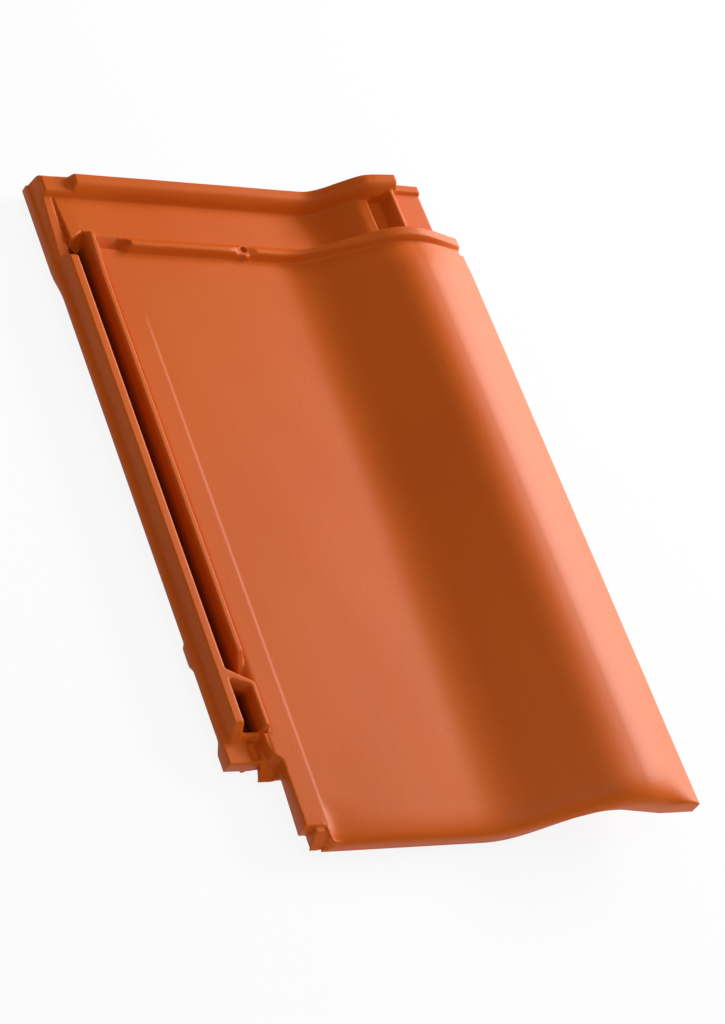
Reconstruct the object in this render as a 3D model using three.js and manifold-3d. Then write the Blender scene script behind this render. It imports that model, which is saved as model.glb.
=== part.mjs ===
// A pressed and fired clay roof tile with a flat pan, a roll along its right side, a side lock along
// its left side and two ribs across its head. It is one piece of clay, so it is one solid.
// Sizes are in millimetres. x runs across the tile from the left edge of the pan, y runs up the roof
// from the front edge of the pan, and z is the height above the face of the pan. The finished
// solid is then moved so that the middle of its underside is the origin.
import * as THREE from 'three';
import { mergeVertices } from 'three/addons/utils/BufferGeometryUtils.js';
import Module from 'manifold-3d';

const wasm = await Module();
wasm.setup();

// Length: the front edge of the pan is at y = 0. The ribs and ends near the head keep their distance
// from the back edge, or from the inner rib.
const TILE_BACK_Y = 471;
const HEAD_LENGTH = 58.5;
const INNER_RIB_Y = TILE_BACK_Y - HEAD_LENGTH;

// Pan, its front nose and the water bead beside the side lock.
const PAN_THICKNESS = 11;
const PAN_EDGE_FRONT_THICKNESS = 11;
const PAN_EDGE_THICKNESS = 8.6;
const PAN_EDGE_SHIFT = 3.2;
const PAN_EDGE_DRAFT = 1.2;
const NOSE_START_X = 11;
const NOSE_LENGTH = 10;
const NOSE_ROUND = 16;
const NOSE_DROP = 6;
const NOSE_ROLL_ROUND = 30;
const NOSE_ROLL_DROP = 10;
const NOSE_LIP = 1.3;
const NOSE_LIP_LENGTH = 14;
const NOSE_STEPS = [0, 0.06, 0.2, 0.45, 0.72, 1];
const NOSE_BLOCK_X = 6.3;
const NOSE_BLOCK_Y = -8.4;
const NOSE_BLOCK_LEAN = 4;
const NOSE_BLOCK_BOTTOM = -12.5;
const NOSE_BLOCK_TOP = -5;
const BEAD_FRONT_X = 15;
const BEAD_HEAD_X = 16.3;
const BEAD_START_Y = 2;
const BEAD_END_GAP = 46.5;
const BEAD_WIDTH = 2.4;
const BEAD_HEIGHT = 0.4;

// Roll: it starts to rise at the foot, is highest at the crest and ends at the cover edge.
const ROLL_HEIGHT = 33;
const ROLL_FOOT_FRONT_X = 122;
const ROLL_FOOT_HEAD_X = 142;
const ROLL_CREST_FRONT_X = 208;
const ROLL_CREST_HEAD_X = 219;
const ROLL_WALL = 13.2;
const FLANK_STEPS = 14;
const COVER_EDGE_X = 267;
const COVER_EDGE_DROP = 13;
const COVER_CURVE = 1.6;
const COVER_EDGE_THICKNESS = 7;
const COVER_UNDERSIDE_SLOPE = 0.2;
const COVER_STEPS = 8;
const COVER_LIP_WIDTH = 8;
const COVER_LIP_BOTTOM = 3;
const COVER_LIP_FRONT_Y = 8;
const LOCK_TONGUE_X = 239;
const LOCK_TONGUE_WIDTH = 5;
const LOCK_TONGUE_BOTTOM = 3.5;
const LOCK_TONGUE_FRONT_Y = 30;
const LOCK_TONGUE_END_GAP = 40.5;

// Inner rib, which goes on over the roll as its rim. The roll dips a little before the rim.
const INNER_RIB_HEIGHT = 6;
const INNER_RIB_WIDTH = 12.5;
const INNER_RIB_FRONT_SLOPE = 2.3;
const INNER_RIB_TOP_WIDTH = 3.7;
const INNER_RIB_START_X = 17.8;
const INNER_RIB_END_LEAN = 3.4;
const RIM_HEIGHT = 4.5;
const RIM_TOP_WIDTH = 6.7;
const RIM_END_INSET = 4;
const RIM_DIP = 2.5;
const RIM_EDGE_DIP = 0.8;
const RIM_DIP_LENGTH = 22;
const RIM_DIP_STEPS = 4;

// Trough behind it, then the groove, the end rib and the shelf on the roll. The climb of the head rib
// up the flank and the brim of the groove are given as shares of the roll's height.
const TROUGH_START_X = -17.7;
const TROUGH_START_DROP = 0.3;
const TROUGH_LEVEL_X = -9;
const TROUGH_THICKNESS = 11;
const TROUGH_CLIMB = [[168, 0], [177, 0.115], [188, 0.365], [200, 0.62], [207, 0.675]];
const TROUGH_FLANK = TROUGH_CLIMB.map(([x, share]) => [x, share * ROLL_HEIGHT]);
const TROUGH_FLANK_WALL = 12;
const GROOVE_BRIM = [[198, 0.575], [203, 0.6]];
const GROOVE_X = 211.5;
const GROOVE_WIDTH = 4.5;
const GROOVE_Z = ROLL_HEIGHT - 16;
const END_RIB_X = 219.6;
const END_RIB_WIDTH = 3.4;
const END_RIB_SLOPE = 3;
const END_RIB_TOP = ROLL_HEIGHT - 5;
const SHELF_Z = ROLL_HEIGHT - 15;
const SHELF_THICKNESS = 9;
const SHELF_END_X = 252;
const SHELF_BEAD_WIDTH = 7;
const SHELF_BEAD_HEIGHT = 2.4;
const SHELF_BEAD_ROUND = 1.2;

// Head rib, with the low stretch that joins its left end to the outer rail.
const HEAD_RIB_WIDTH = 16;
const HEAD_RIB_Y = TILE_BACK_Y - HEAD_RIB_WIDTH;
const HEAD_RIB_HEIGHT = 8.7;
const HEAD_RIB_SLOPE = 7.5;
const HEAD_RIB_TOP_WIDTH = 6;
const HEAD_RIB_START_X = -8;
const HEAD_RIB_END_X = 226;
const HEAD_RIB_END_RISE = 1.4;
const HEAD_RIB_END_SLOPE = 3.4;
const LOW_RIB_START_X = -26;
const LOW_RIB_HEIGHT = 4;
const LOW_RIB_BACK_DROP = 2.2;

// Side lock: outer rail, channel and inner rail on a flanged base.
const FLANGE_X = -30;
const FLANGE_TOP = -7;
const FLANGE_BEVEL_WIDTH = 1.2;
const FLANGE_BEVEL_DROP = 1;
const FLANGE_BOTTOM = -13;
const FLANGE_BOTTOM_INSET = 2;
const FLANGE_HEAD_DIP = 1.3;
const FLANGE_HEAD_DEPTH = 4;
const FLANGE_HEAD_GAP = 17.5;
const FLANGE_DIP_LENGTH = 20;
const BASE_BOTTOM = -16;
const BASE_BOTTOM_X = -21;
const FLANGE_FOOT_Y = 118.5;
const FLANGE_FOOT_LENGTH = 14;
const FLANGE_FOOT_WIDTH = 9;
const FLANGE_FOOT_BOTTOM = -16;
const RAIL_TOP = 4;
const RAIL_DRAFT = 1.4;
const OUTER_RAIL_X = -21.6;
const OUTER_RAIL_WIDTH = 7.3;
const OUTER_RAIL_FRONT_Y = 67;
const OUTER_RAIL_FRONT_SLOPE = 6.5;
const OUTER_RAIL_STEP_GAP = 1.5;
const OUTER_RAIL_STEP_LENGTH = 5;
const OUTER_RAIL_STEP = 8.2;
const OUTER_RAIL_BACK_X = -23;
const OUTER_RAIL_BACK_WIDTH = 4.4;
const OUTER_RAIL_BACK_TOP = 1;
const INNER_RAIL_X = -4.6;
const INNER_RAIL_WIDTH = 4.4;
const INNER_RAIL_FRONT_Y = 115;
const INNER_RAIL_FRONT_SLOPE = 28;
const INNER_RAIL_BACK_REACH = 11;
const INNER_RAIL_BACK_SLOPE = 14;
const INNER_RAIL_BACK_RISE = 2.2;
const INNER_RAIL_RISE_LENGTH = 30;
const CHANNEL_X = -17;
const CHANNEL_SIDE = 1;
const CHANNEL_FLOOR = -9.5;
const CHANNEL_END_LEFT = 8;
const CHANNEL_END_RIGHT = 15.5;
const CHANNEL_END_SLOPE = 7;
const CHANNEL_END_BRIM = 1;

// Loop, sill and landing at the front end of the side lock.
const LOOP_RIGHT_X = -2;
const LOOP_BACK_Y = 105;
const LOOP_SHOULDER_Y = 94;
const LOOP_FRONT_Y = 63.5;
const LOOP_WALL = 3.7;
const LOOP_BAR_LEFT = 8;
const LOOP_BAR_RIGHT = 4.2;
const SILL_Y = 61;
const SILL_LENGTH = 4;
const SILL_TOP = -3;
const SILL_END_X = -4.5;
const LANDING_Y = 46;
const LANDING_LENGTH = 11;
const LANDING_DEPTH = 1.2;
const LANDING_BOTTOM_INSET = 0.2;
const LANDING_GROOVE_X = -14;
const LANDING_RAMP = 6;
const LANDING_RIB_X = -17;
const LANDING_RIB_WIDTH = 5;
const LANDING_RIB_BOTTOM = -17.8;
const BLOCK_TOP = -7.5;
const BLOCK_LEDGE = -12;
const BLOCK_BOTTOM = -13.2;
const BLOCK_BACK_X = -7;
const BLOCK_FRONT_X = -11.6;
const BLOCK_REACH = 9;

// Drain recess behind the left end of the inner rib, with a long slope at its back, and the nail hole
// with its boss.
const RECESS_START_X = INNER_RAIL_X + INNER_RAIL_WIDTH / 2;
const RECESS_INSET = 4.5;
const RECESS_LENGTH = 1.8;
const RECESS_FRONT_SLOPE = 1.4;
const RECESS_BACK_SLOPE = 8.4;
const RECESS_END_SLOPE = 2.6;
const RECESS_DEPTH = 4;
const RECESS_BRIM = 1;
const NAIL_HOLE_X = 105.2;
const NAIL_HOLE_Y = INNER_RIB_Y + 6.1;
const NAIL_HOLE_DIAMETER = 5;
const NAIL_HOLE_SIDES = 16;
const NAIL_BOSS_WIDTH = 12.4;
const NAIL_BOSS_BACK = 7;
const NAIL_BOSS_FRONT = 2.4;
const NAIL_BOSS_POINT = 6.6;
const NAIL_BOSS_NOSE = 3.4;
const NAIL_BOSS_HEIGHT = 5;

// Underside: what the tile rests on.
const REST_DEPTH = 20;
const NIB_XS = [45, 150];
const NIB_WIDTH = 32;
const NIB_SETBACK = 31;
const NIB_LENGTH = 12;
const NIB_DRAFT = 2;
const FOOT_RIB_START_X = 24;
const FOOT_RIB_END_X = 126;
const FOOT_RIB_Y = 10;
const FOOT_RIB_LENGTH = 9;

// How far a piece is sunk into the clay that it joins, and how close two corners are that are welded.
const SINK = 3;
const WELD_DISTANCE = 1e-4;
const COLOR = 0xc0612f;

// A solid from a closed skin of triangles.
function toSolid(geometry) {
  const bare = geometry.index ? geometry.toNonIndexed() : geometry.clone();
  bare.deleteAttribute('normal');
  bare.deleteAttribute('uv');
  const merged = mergeVertices(bare, WELD_DISTANCE);
  return new wasm.Manifold(new wasm.Mesh({
    numProp: 3,
    vertProperties: new Float32Array(merged.attributes.position.array),
    triVerts: new Uint32Array(merged.index.array),
  }));
}

// A closed skin over sections that have the same number of corners. The first section's outline, seen
// along the loft, gives the two end faces.
function loft(sections, flatten) {
  const count = sections[0].length;
  const positions = [];
  const addTriangle = (a, b, c) => positions.push(...a, ...b, ...c);
  for (let i = 0; i + 1 < sections.length; i++) {
    for (let j = 0; j < count; j++) {
      const k = (j + 1) % count;
      addTriangle(sections[i][j], sections[i + 1][j], sections[i + 1][k]);
      addTriangle(sections[i][j], sections[i + 1][k], sections[i][k]);
    }
  }
  const last = sections[sections.length - 1];
  for (const [section, flip] of [[sections[0], false], [last, true]]) {
    const outline = section.map((point) => new THREE.Vector2(...flatten(point)));
    const faces = THREE.ShapeUtils.triangulateShape(outline, []);
    const areas = faces.map((face) => THREE.ShapeUtils.area(face.map((i) => outline[i])));
    const facesTurn = areas.reduce((sum, area) => sum + area, 0);
    const sameTurn = facesTurn * THREE.ShapeUtils.area(outline) > 0;
    for (const face of faces) {
      const corners = face.map((i) => section[i]);
      if (sameTurn === flip) corners.reverse();
      addTriangle(...corners);
    }
  }
  const geometry = new THREE.BufferGeometry();
  geometry.setAttribute('position', new THREE.Float32BufferAttribute(positions, 3));
  return outward(geometry);
}

// Turns the triangles over where the skin encloses a negative volume.
function outward(geometry) {
  const p = geometry.attributes.position;
  const [a, b, c] = [new THREE.Vector3(), new THREE.Vector3(), new THREE.Vector3()];
  let volume = 0;
  for (let i = 0; i < p.count; i += 3) {
    a.fromBufferAttribute(p, i);
    b.fromBufferAttribute(p, i + 1);
    c.fromBufferAttribute(p, i + 2);
    volume += a.dot(b.cross(c));
  }
  if (volume < 0) {
    for (let i = 0; i < p.count; i += 3) {
      b.fromBufferAttribute(p, i + 1);
      c.fromBufferAttribute(p, i + 2);
      p.setXYZ(i + 1, c.x, c.y, c.z);
      p.setXYZ(i + 2, b.x, b.y, b.z);
    }
  }
  return toSolid(geometry);
}

const alongY = (point) => [point[0], point[2]];
const alongX = (point) => [point[1], point[2]];
const alongZ = (point) => [point[0], point[1]];

// A bar along y: outline is a list of [x, z] corners, the same at both ends.
function barAlongY(outline, front, back) {
  return loft([front, back].map((y) => outline.map(([x, z]) => [x, y, z])), alongY);
}

// A plate between two heights: outline is a list of [x, y] corners.
function plate(outline, bottom, top) {
  return loft([bottom, top].map((z) => outline.map(([x, y]) => [x, y, z])), alongZ);
}

// The surface of the pan and the roll is given by formulas.
const mix = (a, b, t) => a + (b - a) * t;
const clamp01 = (t) => Math.min(1, Math.max(0, t));
const smooth = (t) => t * t * (3 - 2 * t);
const smoother = (t) => t ** 3 * (6 * t * t - 15 * t + 10);

const footX = (y) => mix(ROLL_FOOT_FRONT_X, ROLL_FOOT_HEAD_X, clamp01(y / INNER_RIB_Y));
const crestX = (y) => mix(ROLL_CREST_FRONT_X, ROLL_CREST_HEAD_X, clamp01(y / INNER_RIB_Y));

// How far up the flank a place lies, 0 on the pan and 1 from the crest on.
const upFlank = (x, y) => smoother(clamp01((x - footX(y)) / (crestX(y) - footX(y))));

// How far a place lies from the crest to the cover edge.
const toCoverEdge = (x, y) => clamp01((x - crestX(y)) / (COVER_EDGE_X - crestX(y)));

const rollShape = (x, y) => ROLL_HEIGHT * upFlank(x, y) - COVER_EDGE_DROP * toCoverEdge(x, y) ** COVER_CURVE;

// The roll dips where it meets the rim at its head, less so at the cover edge.
function rimDip(x, y) {
  const along = smooth(clamp01(1 - (INNER_RIB_Y - y) / RIM_DIP_LENGTH));
  return mix(RIM_DIP, RIM_EDGE_DIP, toCoverEdge(x, y)) * along * upFlank(x, y);
}

// The nose is rounded down at the front. The rounding is longer and deeper on the roll, and runs out
// at the cover edge.
function noseDrop(x, y) {
  const length = mix(NOSE_ROUND, NOSE_ROLL_ROUND, smooth(toCoverEdge(x, y)));
  const runOut = 1 - smooth(clamp01(2 * toCoverEdge(x, y) - 1));
  const t = clamp01((length - NOSE_LENGTH - y) / length);
  return mix(NOSE_DROP, NOSE_ROLL_DROP, upFlank(x, y)) * runOut * (1 - Math.sqrt(1 - t * t));
}

const bodyTop = (x, y) => rollShape(x, y) - rimDip(x, y) - noseDrop(x, y);

function bodyBottom(x, y) {
  const underFlank = rollShape(x, y) - mix(PAN_THICKNESS, ROLL_WALL, upFlank(x, y));
  const underCover = ROLL_HEIGHT - ROLL_WALL - COVER_UNDERSIDE_SLOPE * (x - crestX(y));
  const underEdge = ROLL_HEIGHT - COVER_EDGE_DROP - COVER_EDGE_THICKNESS;
  const bottom = x <= crestX(y) ? underFlank : Math.max(underEdge, underCover);
  const lip = NOSE_LIP * clamp01((NOSE_LIP_LENGTH - NOSE_LENGTH - y) / NOSE_LIP_LENGTH);
  return bottom - rimDip(x, y) - lip;
}

// Places across the body: the pan is flat, and the roll is divided evenly on each side of its crest.
function bodyXs(y, start, end) {
  const xs = [start];
  for (let i = 0; i <= FLANK_STEPS; i++) xs.push(mix(footX(y), crestX(y), i / FLANK_STEPS));
  for (let i = 1; i <= COVER_STEPS; i++) xs.push(mix(crestX(y), end, i / COVER_STEPS));
  return xs;
}

function panAndRoll() {
  const ys = NOSE_STEPS.map((t) => mix(-NOSE_LENGTH, NOSE_ROLL_ROUND - NOSE_LENGTH, t));
  for (let i = 0; i <= RIM_DIP_STEPS; i++) {
    ys.push(INNER_RIB_Y - RIM_DIP_LENGTH * (1 - i / RIM_DIP_STEPS));
  }
  ys.push(INNER_RIB_Y + SINK);
  return loft(ys.map((y) => {
    const xs = bodyXs(y, NOSE_START_X, COVER_EDGE_X);
    const top = xs.map((x) => [x, y, bodyTop(x, y)]);
    const bottom = xs.map((x) => [x, y, bodyBottom(x, y)]).reverse();
    return [...top, ...bottom];
  }), alongY);
}

// The block at the left end of the nose, below the edge of the pan.
function noseBlock() {
  return loft([NOSE_BLOCK_X, NOSE_START_X + SINK].map((x) => [
    [x, NOSE_BLOCK_Y, NOSE_BLOCK_BOTTOM],
    [x, NOSE_BLOCK_Y + NOSE_BLOCK_LEAN, NOSE_BLOCK_TOP],
    [x, SINK, NOSE_BLOCK_TOP],
    [x, SINK, NOSE_BLOCK_BOTTOM],
  ]), alongX);
}

// The left edge of the pan steps out where the side lock begins.
function panEdge() {
  const back = INNER_RIB_Y + SINK;
  return loft([
    [0, 0, PAN_EDGE_FRONT_THICKNESS],
    [LANDING_Y - SINK, 0, PAN_EDGE_THICKNESS],
    [LANDING_Y, -PAN_EDGE_SHIFT, PAN_EDGE_THICKNESS],
    [back, -PAN_EDGE_SHIFT, PAN_EDGE_THICKNESS],
  ].map(([y, x, thickness]) => [
    [x, y, 0],
    [BEAD_HEAD_X, y, 0],
    [BEAD_HEAD_X, y, -thickness],
    [x + PAN_EDGE_DRAFT, y, -thickness],
  ]), alongY);
}

function bead() {
  const half = BEAD_WIDTH / 2;
  const outline = [[-half, -SINK], [half, -SINK], [half, 0], [0, BEAD_HEIGHT], [-half, 0]];
  const at = (middle, y) => outline.map(([x, z]) => [middle + x, y, z]);
  return loft([at(BEAD_FRONT_X, BEAD_START_Y), at(BEAD_HEAD_X, INNER_RIB_Y - BEAD_END_GAP)], alongY);
}

// The trough floor at the head of the tile, from left to right: it follows the pan and the flank of the
// roll up to a brim, drops into the groove, climbs the end rib and drops to the shelf that the next
// tile up covers.
const troughFloor = [
  [TROUGH_START_X, -TROUGH_START_DROP],
  [TROUGH_LEVEL_X, 0],
  ...TROUGH_FLANK.slice(0, -2),
  ...GROOVE_BRIM.map(([x, share]) => [x, share * ROLL_HEIGHT]),
  [GROOVE_X, GROOVE_Z],
  [GROOVE_X + GROOVE_WIDTH, GROOVE_Z],
  [END_RIB_X, END_RIB_TOP],
  [END_RIB_X + END_RIB_WIDTH, END_RIB_TOP],
  [END_RIB_X + END_RIB_WIDTH + END_RIB_SLOPE, SHELF_Z],
  [SHELF_END_X, SHELF_Z],
];

function troughZ(x) {
  const next = troughFloor.findIndex(([cornerX], i) => i > 0 && x <= cornerX);
  if (next < 0) return SHELF_Z;
  const [[x0, z0], [x1, z1]] = [troughFloor[next - 1], troughFloor[next]];
  return mix(z0, z1, clamp01((x - x0) / (x1 - x0)));
}

function trough() {
  const [bend, ...climb] = TROUGH_FLANK;
  const underClimb = climb.slice(0, -1).map(([x, z]) => [x, z - TROUGH_FLANK_WALL]);
  const underside = [
    [TROUGH_START_X, -TROUGH_THICKNESS],
    [bend[0], -TROUGH_THICKNESS],
    ...underClimb,
    [GROOVE_X, SHELF_Z - SHELF_THICKNESS],
    [SHELF_END_X, SHELF_Z - SHELF_THICKNESS],
  ];
  return barAlongY([...troughFloor, ...underside.reverse()], INNER_RIB_Y, TILE_BACK_Y);
}

function shelfBead() {
  const front = TILE_BACK_Y - SHELF_BEAD_WIDTH;
  return loft([END_RIB_X + END_RIB_WIDTH, SHELF_END_X].map((x) => [
    [x, front, SHELF_Z - SINK],
    [x, front, SHELF_Z],
    [x, front + SHELF_BEAD_ROUND, SHELF_Z + SHELF_BEAD_HEIGHT],
    [x, TILE_BACK_Y - SHELF_BEAD_ROUND, SHELF_Z + SHELF_BEAD_HEIGHT],
    [x, TILE_BACK_Y, SHELF_Z],
    [x, TILE_BACK_Y, SHELF_Z - SINK],
  ]), alongX);
}

// The left end of the inner rib leans towards the roll, so its upper corners start further right.
function innerRib() {
  const back = INNER_RIB_Y + INNER_RIB_WIDTH;
  return loft(bodyXs(INNER_RIB_Y, INNER_RIB_START_X, COVER_EDGE_X - RIM_END_INSET).map((x, i) => {
    const foot = bodyTop(x, INNER_RIB_Y);
    const under = Math.min(bodyBottom(x, INNER_RIB_Y), troughZ(x) - SINK);
    const onRoll = upFlank(x, INNER_RIB_Y);
    const top = foot + mix(INNER_RIB_HEIGHT, RIM_HEIGHT, onRoll);
    const topBack = INNER_RIB_Y + INNER_RIB_FRONT_SLOPE + mix(INNER_RIB_TOP_WIDTH, RIM_TOP_WIDTH, onRoll);
    const topX = i === 0 ? x + INNER_RIB_END_LEAN : x;
    return [
      [x, INNER_RIB_Y, under],
      [x, INNER_RIB_Y, foot],
      [topX, INNER_RIB_Y + INNER_RIB_FRONT_SLOPE, top],
      [topX, topBack, top],
      [x, back, mix(Math.min(troughZ(x), foot), under + SINK, onRoll)],
      [x, back, under],
    ];
  }), alongX);
}

function ribSection(x, floor, height, backDrop) {
  const slope = HEAD_RIB_SLOPE * height / HEAD_RIB_HEIGHT;
  const under = Math.min(floor, GROOVE_Z) - SINK;
  return [
    [x, HEAD_RIB_Y, under],
    [x, HEAD_RIB_Y, floor],
    [x, HEAD_RIB_Y + slope, floor + height],
    [x, HEAD_RIB_Y + HEAD_RIB_SLOPE + HEAD_RIB_TOP_WIDTH, floor + height],
    [x, TILE_BACK_Y, floor + height - backDrop],
    [x, TILE_BACK_Y, under],
  ];
}

// The head rib climbs the roll with the trough floor.
function headRib() {
  const highDrop = HEAD_RIB_HEIGHT;
  return loft([
    ribSection(LOW_RIB_START_X, -TROUGH_START_DROP, LOW_RIB_HEIGHT, LOW_RIB_BACK_DROP),
    ribSection(HEAD_RIB_START_X, 0, LOW_RIB_HEIGHT, LOW_RIB_BACK_DROP),
    ribSection(HEAD_RIB_START_X + HEAD_RIB_END_SLOPE, 0, HEAD_RIB_HEIGHT, highDrop),
    ...TROUGH_FLANK.map(([x, floor]) => ribSection(x, floor, HEAD_RIB_HEIGHT, highDrop)),
    ribSection(HEAD_RIB_END_X, TROUGH_FLANK.at(-1)[1], HEAD_RIB_HEIGHT + HEAD_RIB_END_RISE, highDrop),
  ], alongX);
}

// The base of the side lock carries both rails, with the channel let into it. Its outer edge is deeper
// under the landing and near the head.
function lockBase() {
  const dipEnd = INNER_RIB_Y - FLANGE_HEAD_GAP;
  const landingBack = LANDING_Y + LANDING_LENGTH;
  const level = { groove: CHANNEL_X, inset: FLANGE_BOTTOM_INSET, topDip: 0, bottomDip: 0 };
  const head = { ...level, topDip: FLANGE_HEAD_DIP, bottomDip: FLANGE_HEAD_DEPTH };
  const landing = {
    ...level,
    groove: LANDING_GROOVE_X,
    inset: LANDING_BOTTOM_INSET,
    bottomDip: LANDING_DEPTH,
  };
  return loft([
    { y: LANDING_Y, ...landing },
    { y: landingBack, ...landing },
    { y: landingBack + LANDING_RAMP, ...level },
    { y: dipEnd - FLANGE_DIP_LENGTH, ...level },
    { y: dipEnd, ...head },
    { y: TILE_BACK_Y, ...head },
  ].map(({ y, groove, inset, topDip, bottomDip }) => [
    [FLANGE_X, y, FLANGE_TOP - FLANGE_BEVEL_DROP - topDip],
    [FLANGE_X + FLANGE_BEVEL_WIDTH, y, FLANGE_TOP - topDip],
    [groove, y, FLANGE_TOP - topDip],
    [groove + CHANNEL_SIDE, y, CHANNEL_FLOOR],
    [0, y, CHANNEL_FLOOR],
    [0, y, BASE_BOTTOM],
    [BASE_BOTTOM_X, y, BASE_BOTTOM],
    [FLANGE_X + inset, y, FLANGE_BOTTOM - bottomDip],
  ]), alongY);
}

// A small foot under the outer edge of the flange.
function flangeFoot() {
  const left = FLANGE_X + FLANGE_BOTTOM_INSET;
  const back = FLANGE_FOOT_Y + FLANGE_FOOT_LENGTH;
  return plate([
    [left, FLANGE_FOOT_Y],
    [left + FLANGE_FOOT_WIDTH, FLANGE_FOOT_Y],
    [left + FLANGE_FOOT_WIDTH, back],
    [left, back],
  ], FLANGE_FOOT_BOTTOM, FLANGE_BOTTOM + SINK);
}

function railOutline(x, width, top) {
  const half = width / 2;
  return [
    [x - half - RAIL_DRAFT, CHANNEL_FLOOR - SINK],
    [x + half + RAIL_DRAFT, CHANNEL_FLOOR - SINK],
    [x + half, top],
    [x - half, top],
  ];
}

// It runs from the loop to the head. Behind the inner rib it is lower and narrower, and climbs again
// towards the back edge.
function outerRail() {
  const high = railOutline(OUTER_RAIL_X, OUTER_RAIL_WIDTH, RAIL_TOP);
  const low = railOutline(OUTER_RAIL_X, OUTER_RAIL_WIDTH, RAIL_TOP - OUTER_RAIL_STEP);
  const end = railOutline(OUTER_RAIL_BACK_X, OUTER_RAIL_BACK_WIDTH, OUTER_RAIL_BACK_TOP);
  const at = (outline, y) => outline.map(([x, z]) => [x, y, z]);
  const frontY = (z) => (z > 0 ? OUTER_RAIL_FRONT_Y : OUTER_RAIL_FRONT_Y - OUTER_RAIL_FRONT_SLOPE);
  const stepY = INNER_RIB_Y - OUTER_RAIL_STEP_GAP;
  return loft([
    high.map(([x, z]) => [x, frontY(z), z]),
    at(high, stepY - OUTER_RAIL_STEP_LENGTH),
    at(low, stepY),
    at(end, TILE_BACK_Y),
  ], alongY);
}

// Its ends are sloped, so the corners of the foot and of the top lie at different places along y. It
// rises a little towards the back.
function innerRail() {
  const low = railOutline(INNER_RAIL_X, INNER_RAIL_WIDTH, RAIL_TOP);
  const high = railOutline(INNER_RAIL_X, INNER_RAIL_WIDTH, RAIL_TOP + INNER_RAIL_BACK_RISE);
  const at = (outline, foot, top) => outline.map(([x, z]) => [x, z > 0 ? top : foot, z]);
  const back = INNER_RIB_Y + INNER_RAIL_BACK_REACH;
  const riseY = back - INNER_RAIL_RISE_LENGTH;
  return loft([
    at(low, INNER_RAIL_FRONT_Y - INNER_RAIL_FRONT_SLOPE, INNER_RAIL_FRONT_Y),
    at(low, riseY, riseY),
    at(high, back + INNER_RAIL_BACK_SLOPE, back),
  ], alongY);
}

// The channel runs on past the inner rib and ends in a slope that is askew to the tile.
function channelEnd() {
  const right = INNER_RAIL_X - INNER_RAIL_WIDTH / 2;
  const at = (z, grow) => [
    [TROUGH_START_X, INNER_RIB_Y - SINK, z],
    [right, INNER_RIB_Y - SINK, z],
    [right, INNER_RIB_Y + CHANNEL_END_RIGHT - CHANNEL_END_SLOPE * (1 - grow), z],
    [TROUGH_START_X, INNER_RIB_Y + CHANNEL_END_LEFT - CHANNEL_END_SLOPE * (1 - grow), z],
  ];
  return loft([at(CHANNEL_FLOOR, 0), at(CHANNEL_END_BRIM, 1)], alongZ);
}

// A bar leaves the outer rail, crosses the channel and runs on as a thin wall beside the pan.
function loop() {
  const inside = LOOP_RIGHT_X - LOOP_WALL;
  return plate([
    [OUTER_RAIL_X, LOOP_BACK_Y],
    [LOOP_RIGHT_X, LOOP_SHOULDER_Y],
    [LOOP_RIGHT_X, LOOP_FRONT_Y],
    [inside, LOOP_FRONT_Y],
    [inside, LOOP_SHOULDER_Y - LOOP_BAR_RIGHT],
    [OUTER_RAIL_X, LOOP_BACK_Y - LOOP_BAR_LEFT],
  ], CHANNEL_FLOOR - SINK, RAIL_TOP);
}

function sill() {
  return plate([
    [OUTER_RAIL_X, SILL_Y],
    [SILL_END_X, SILL_Y],
    [SILL_END_X, SILL_Y + SILL_LENGTH],
    [OUTER_RAIL_X, SILL_Y + SILL_LENGTH],
  ], CHANNEL_FLOOR - SINK, SILL_TOP);
}

function landingRib() {
  const half = LANDING_RIB_WIDTH / 2;
  const outline = [
    [LANDING_RIB_X - half, FLANGE_BOTTOM],
    [LANDING_RIB_X + half, FLANGE_BOTTOM],
    [LANDING_RIB_X + half / 2, LANDING_RIB_BOTTOM],
    [LANDING_RIB_X - half / 2, LANDING_RIB_BOTTOM],
  ];
  return barAlongY(outline, LANDING_Y, LANDING_Y + LANDING_LENGTH);
}

// A block reaches forward from under the landing's right end to below the edge of the pan.
function landingBlock() {
  const front = LANDING_Y - BLOCK_REACH;
  const back = LANDING_Y + SINK;
  return loft([
    { frontX: BLOCK_FRONT_X, backX: BLOCK_BACK_X },
    { frontX: NOSE_START_X, backX: NOSE_START_X },
  ].map(({ frontX, backX }) => [
    [backX, back, BLOCK_TOP],
    [backX, LANDING_Y, BLOCK_TOP],
    [frontX, front, BLOCK_LEDGE],
    [frontX, front, BLOCK_BOTTOM],
    [backX, back, BLOCK_BOTTOM],
  ]), alongX);
}

// The recess that drains the corner behind the inner rib is cut with a long slope at its back.
function drainRecess() {
  const front = INNER_RIB_Y + RECESS_INSET;
  const back = front + RECESS_LENGTH;
  const right = INNER_RIB_START_X - RECESS_END_SLOPE;
  const at = (z, grow) => [
    [RECESS_START_X, front - RECESS_FRONT_SLOPE * grow, z],
    [right + RECESS_END_SLOPE * grow, front - RECESS_FRONT_SLOPE * grow, z],
    [right + RECESS_END_SLOPE * grow, back + RECESS_BACK_SLOPE * grow, z],
    [RECESS_START_X, back + RECESS_BACK_SLOPE * grow, z],
  ];
  return loft([at(-RECESS_DEPTH, 0), at(RECESS_BRIM, 1)], alongZ);
}

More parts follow.
